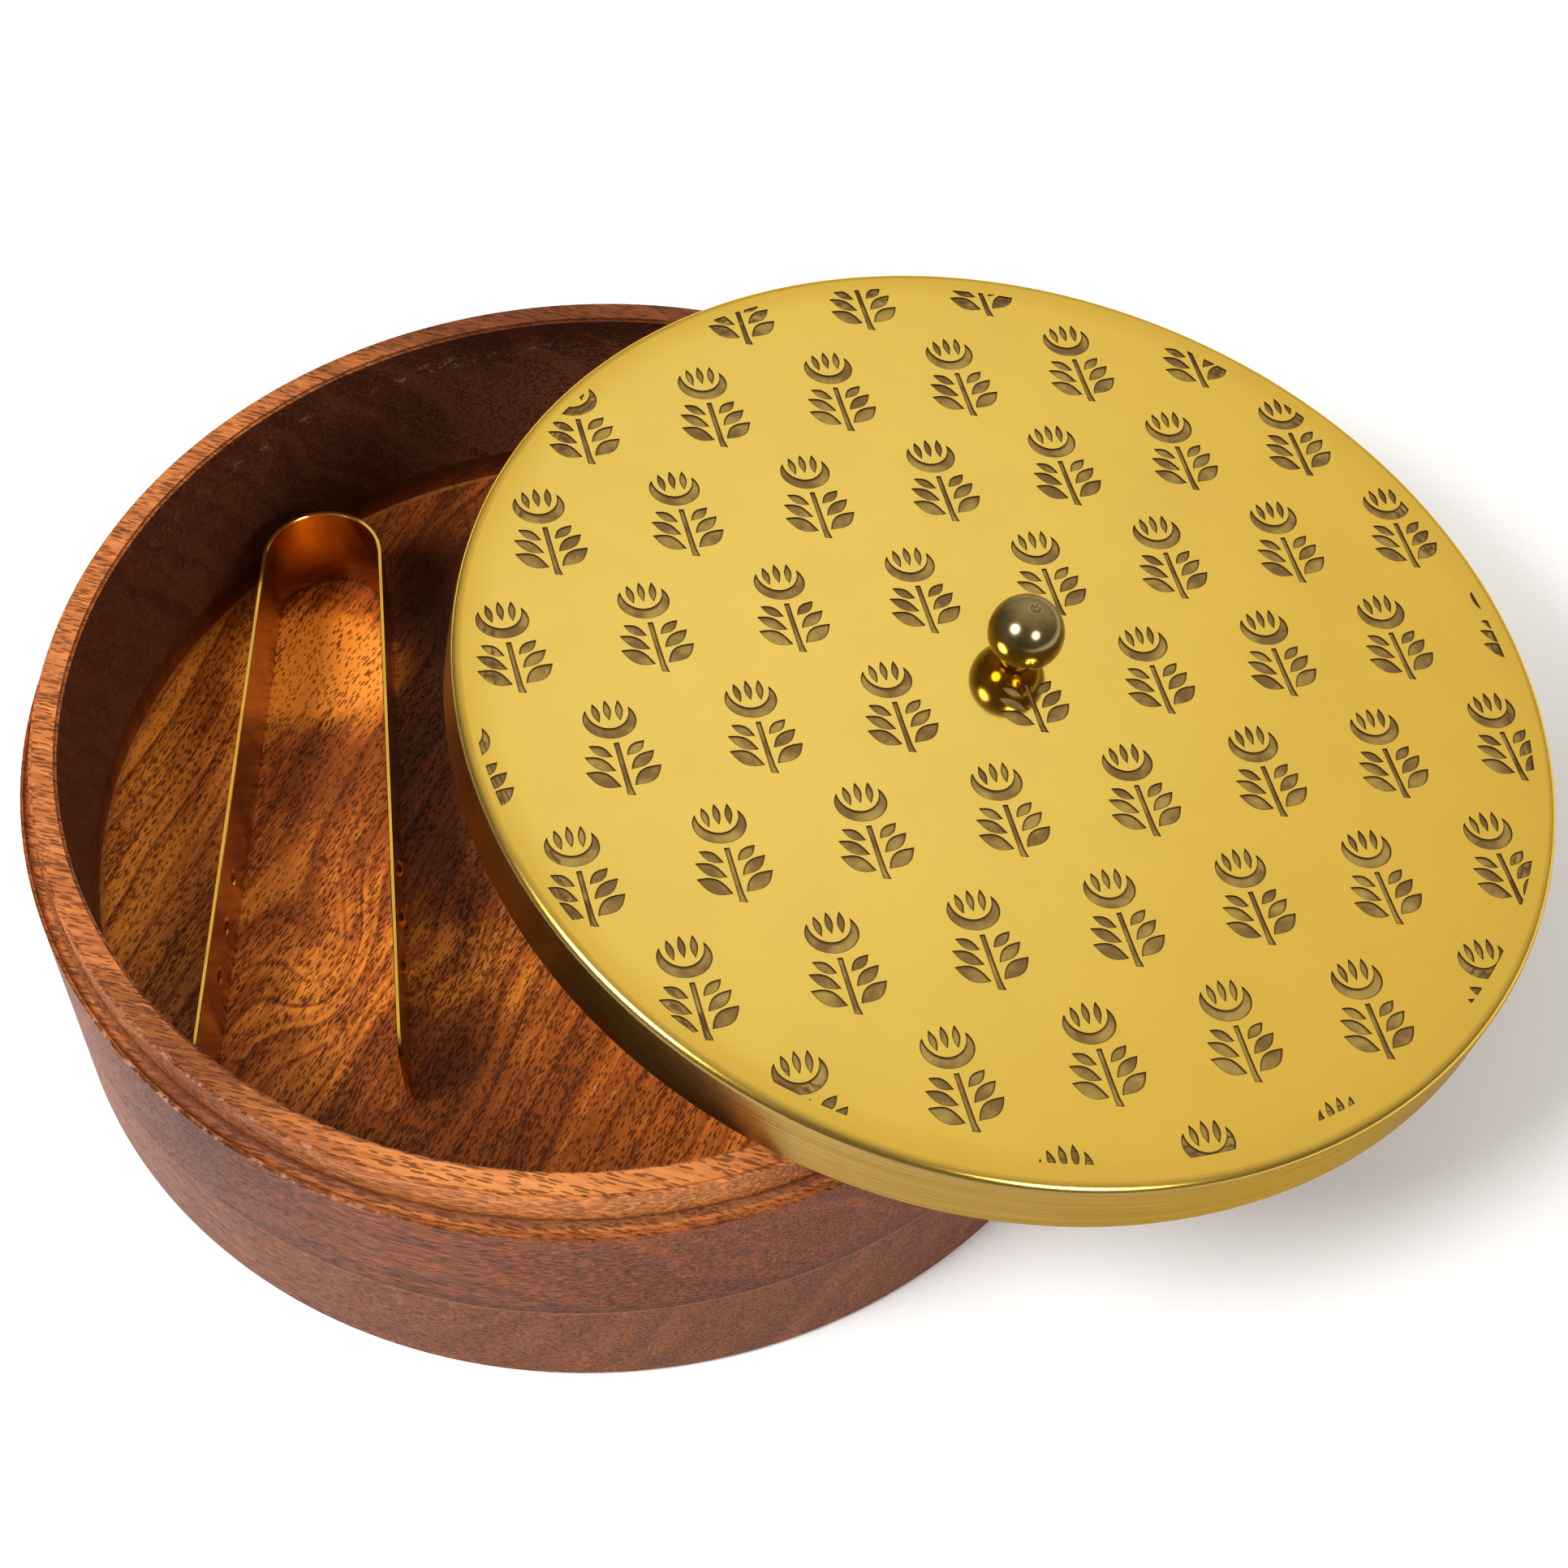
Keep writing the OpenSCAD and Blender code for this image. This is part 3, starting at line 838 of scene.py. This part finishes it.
def aged_and_shaded_brass():
    """The knob: darker, browner brass with a high polish, partly its aged finish and partly painted shade for
    the dim reflections it shows.
    """
    # Darker than the plate's brass: partly aged, partly painted shade.
    return brass("brass_knob_aged_and_shaded", (0.34, 0.25, 0.105), 0.14, 0.20, grime=0.45, wear_size=5)


# ---- Tongs ---------------------------------------------------------------


def tongs_place():
    """Matrix from the tongs' own axes to the frame, from the box of the bow."""
    low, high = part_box("tongs_bow")
    centre = ((low.x + high.x) / 2, high.y - BOW_R * MM, low.z)
    return Matrix.Translation(centre) @ Matrix.Rotation(TONGS_TURN, 4, "Z")


def arm_steps():
    """Distances from the tip of the stations along an arm, close together at the bow, dimples and tip."""
    steps = [ARM_LEN - 1.5, ARM_LEN - 4]
    steps += [ARM_LEN - 8 - 6 * k for k in range(12)]
    fine, beyond = 0.33, 4
    dimpled = DIMPLES[-1] - DIMPLES[0] + 2 * beyond
    steps += [DIMPLES[-1] + beyond - fine * k for k in range(int(dimpled / fine))]
    steps += [22, 20, 17, 14, 11, 8, 6, 5]
    return steps + [TIP_R - TIP_R * math.sin(math.radians(7.5 * k)) for k in range(1, 12)] + [0.02]


def strip_path(side):
    """Stations along half of the strip, from the bow's apex to a tip: (point, outward direction, distance
    from the tip). The arm leaves the bow straight and opens by the flare at once, as in the CAD design."""
    middle_r = BOW_R - STRIP_T / 2
    stations = []
    for k in range(25):
        turned = math.radians(90 * k / 24)
        out = Vector((math.sin(turned), math.cos(turned)))
        stations.append((out * middle_r, out, ARM_LEN + middle_r * (math.pi / 2 - turned)))
    away = Vector((math.sin(FLARE), -math.cos(FLARE)))
    out = Vector((math.cos(FLARE), math.sin(FLARE)))
    root = Vector((middle_r, 0))
    stations += [(root + away * (ARM_LEN - left), out, left) for left in arm_steps()]
    if side < 0:
        stations = [(Vector((-p.x, p.y)), Vector((-o.x, o.y)), left) for p, o, left in stations]
    return stations


def row_shares():
    """Heights of the mesh rows as shares of the strip's width, close together where the dimples are."""
    half = (DIMPLE_R + 0.5) / STRIP_W
    count = 24
    middle = [0.5 - half + 2 * half * k / count for k in range(count + 1)]
    return [0.0, 0.06, 0.12, 0.2, 0.29] + middle + [0.71, 0.8, 0.88, 0.94, 1.0]


def dimple_push(left, z):
    """How far the strip is pressed outward at a place, in mm. Each dimple is a flat bowl with steep sides."""
    nearest = min(math.hypot(left - middle, z - STRIP_W / 2) for middle in DIMPLES)
    return DIMPLE_H * math.sqrt(max(1 - (nearest / DIMPLE_R) ** 2, 0))


def strip_section(left, shares):
    """Section of the strip at a distance from its tip, as (outward, height) in mm, and which of its points
    are on a dimple's steep side. It goes up the outer face, over, down the inner face, and back."""
    half, ease = STRIP_T / 2, 0.16
    cut = TIP_R - math.sqrt(max(TIP_R ** 2 - max(TIP_R - left, 0) ** 2, 0))
    low, high = cut, STRIP_W - cut
    rows = [low + ease + (high - low - 2 * ease) * share for share in shares]
    section = [(half + dimple_push(left, z), z) for z in rows]
    section += [(half - ease, high), (-half + ease, high)]
    section += [(-half + dimple_push(left, z), z) for z in reversed(rows)]
    section += [(-half + ease, low), (half - ease, low)]
    steep = [0 < dimple_push(left, z) < 0.8 * DIMPLE_H for _, z in section]
    return section, steep


def make_tongs_half(name, side, place):
    """One half of the bent strip, from the bow's apex to its tip, as a closed mesh with eased edges."""
    shares = row_shares()
    points, faces, steep = [], [], []
    for centre, out, left in strip_path(side):
        section, section_steep = strip_section(left, shares)
        points += [(*(centre + out * o), z) for o, z in section]
        steep += section_steep
    size = len(section)
    stations = len(points) // size
    for k in range(stations - 1):
        near = list(range(k * size, (k + 1) * size))
        far = [n + size for n in near]
        faces += ring_faces(near, far) if side > 0 else ring_faces(far, near)
    caps = [list(range(size)), list(range((stations - 1) * size, stations * size))]
    faces.append(caps[0] if side < 0 else caps[0][::-1])
    faces.append(caps[1][::-1] if side < 0 else caps[1])

    strip = new_object(name, points, faces, place)
    # One brass painted two ways: painted shade on the broad faces, a painted highlight on the edges and the
    # dimples' steep sides.
    strip.data.materials.append(strip_brass("face", (0.55, 0.29, 0.05), 0.17, 0.24))
    strip.data.materials.append(strip_brass("edge", (1.0, 0.59, 0.10), 0.10, 0.16))
    n = len(shares)
    edges = {n - 1, n, n + 1, 2 * n + 1, 2 * n + 2, 2 * n + 3}
    painted_highlight = [int(k % size in edges or steep[k] or steep[k + size]) for k in range(size * (stations - 1))]
    strip.data.polygons.foreach_set("material_index", painted_highlight + [1, 1])
    return strip


def strip_brass(part, colour, low, high):
    """The tongs' brass: warm and satin on the broad faces, darkened there with painted shade, and paler and
    more polished on the cut edges and on the dimples' steep sides, lightened there with a painted highlight."""
    name = "brass_strip_" + part
    return bpy.data.materials.get(name) or brass(name, colour, low, high, wear_size=16)


def make_tongs():
    place = tongs_place()
    for name, side, body in (("tongs_left_half", -1, "tongs_left"), ("tongs_right_half", 1, "tongs_right")):
        strip = make_tongs_half(name, side, place)
        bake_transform(strip)
        if side < 0:
            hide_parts("tongs_left_arm", "tongs_bow")
        else:
            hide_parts("tongs_right_arm")


# ---- Stage ---------------------------------------------------------------

# In metres: where the camera stands, how far down it looks, what the lamps aim at, and half the table's side
CAMERA_AT = (0.0427, -0.3963, 0.5980)
CAMERA_DOWN = math.radians(54.49)
MIDDLE = Vector((0.04, 0, 0.04))
TABLE_HALF = 3.0


def make_camera():
    data = bpy.data.cameras.new("camera")
    data.lens = 69.1
    data.sensor_width = 36
    camera = bpy.data.objects.new("camera", data)
    camera.location = CAMERA_AT
    camera.rotation_euler = (math.radians(90) - CAMERA_DOWN, 0, 0)
    bpy.context.scene.collection.objects.link(camera)
    bpy.context.scene.camera = camera


def lamp(name, direction, distance, size, watts, mirrored=True):
    """A round soft lamp that shines at the object from a direction. mirrored says if the brass shows it."""
    data = bpy.data.lights.new(name, "AREA")
    data.shape = "DISK"
    data.size = size
    data.energy = watts
    made = bpy.data.objects.new(name, data)
    way = Vector(direction).normalized()
    made.location = MIDDLE + way * distance
    made.rotation_euler = way.to_track_quat("Z", "Y").to_euler()
    made.visible_glossy = mirrored
    bpy.context.scene.collection.objects.link(made)


def make_world():
    """Studio surroundings: a broad bright panel above and behind, dimmer towards the front."""
    world = bpy.data.worlds.new("studio")
    bpy.context.scene.world = world
    t = Tree(world)
    way = t.add("TexCoord", out="Generated")
    panel = Vector((0.28, 0.61, 0.74)).normalized()
    facing = t.add("VectorMath", {0: way, 1: panel}, operation="DOT_PRODUCT", out="Value")
    colour = t.ramp(facing, [
        (0.0, (0.17, 0.165, 0.16)), (0.35, (0.23, 0.22, 0.20)), (0.60, (0.46, 0.43, 0.38)),
        (0.85, (0.68, 0.63, 0.52)), (0.965, (0.76, 0.72, 0.60)), (0.982, (0.82, 0.79, 0.70)),
        (0.994, (0.89, 0.91, 0.98)), (1.0, (0.96, 1.0, 1.24))])
    light = t.add("Background", {"Color": colour, "Strength": 1.0})
    output = t.nodes.new("ShaderNodeOutputWorld")
    t.links.new(light, output.inputs["Surface"])


def make_floor():
    half = TABLE_HALF / MM
    corners = [(-half, -half, 0), (half, -half, 0), (half, half, 0), (-half, half, 0)]
    floor = new_object("floor", corners, [(0, 1, 2, 3)])
    material = bpy.data.materials.new("white_table")
    t = Tree(material)
    place = t.add("TexCoord", out="Object")
    paper = t.noise(zoomed(t, place, 900), detail=2.0)
    colour = t.mix(paper, rgb(0.85, 0.85, 0.86), rgb(0.88, 0.875, 0.88))
    t.finish({"Base Color": colour, "Roughness": 0.7})
    floor.data.materials.append(material)


def make_fittings():
    """The screw and washer inside the lid keep their CAD shape."""
    for node in ("lid_screw", "lid_washer"):
        dress(node, brass("brass_" + node, (0.78, 0.58, 0.22), 0.2, 0.35, grime=0.4, wear_size=2))


bpy.context.scene.view_settings.view_transform = "Standard"
make_camera()
make_world()
make_floor()
lamp("lamp_left", (-0.57, -0.35, 0.74), 1.5, 0.60, 24)
lamp("lamp_right", (0.43, -0.65, 0.61), 1.5, 0.50, 9)
lamp("lamp_side", (-0.80, 0.45, 0.42), 1.8, 1.2, 28, mirrored=False)
make_wood()
LID = lid_place()
make_lid_pan(LID)
make_knob(LID)
make_fittings()
make_tongs()
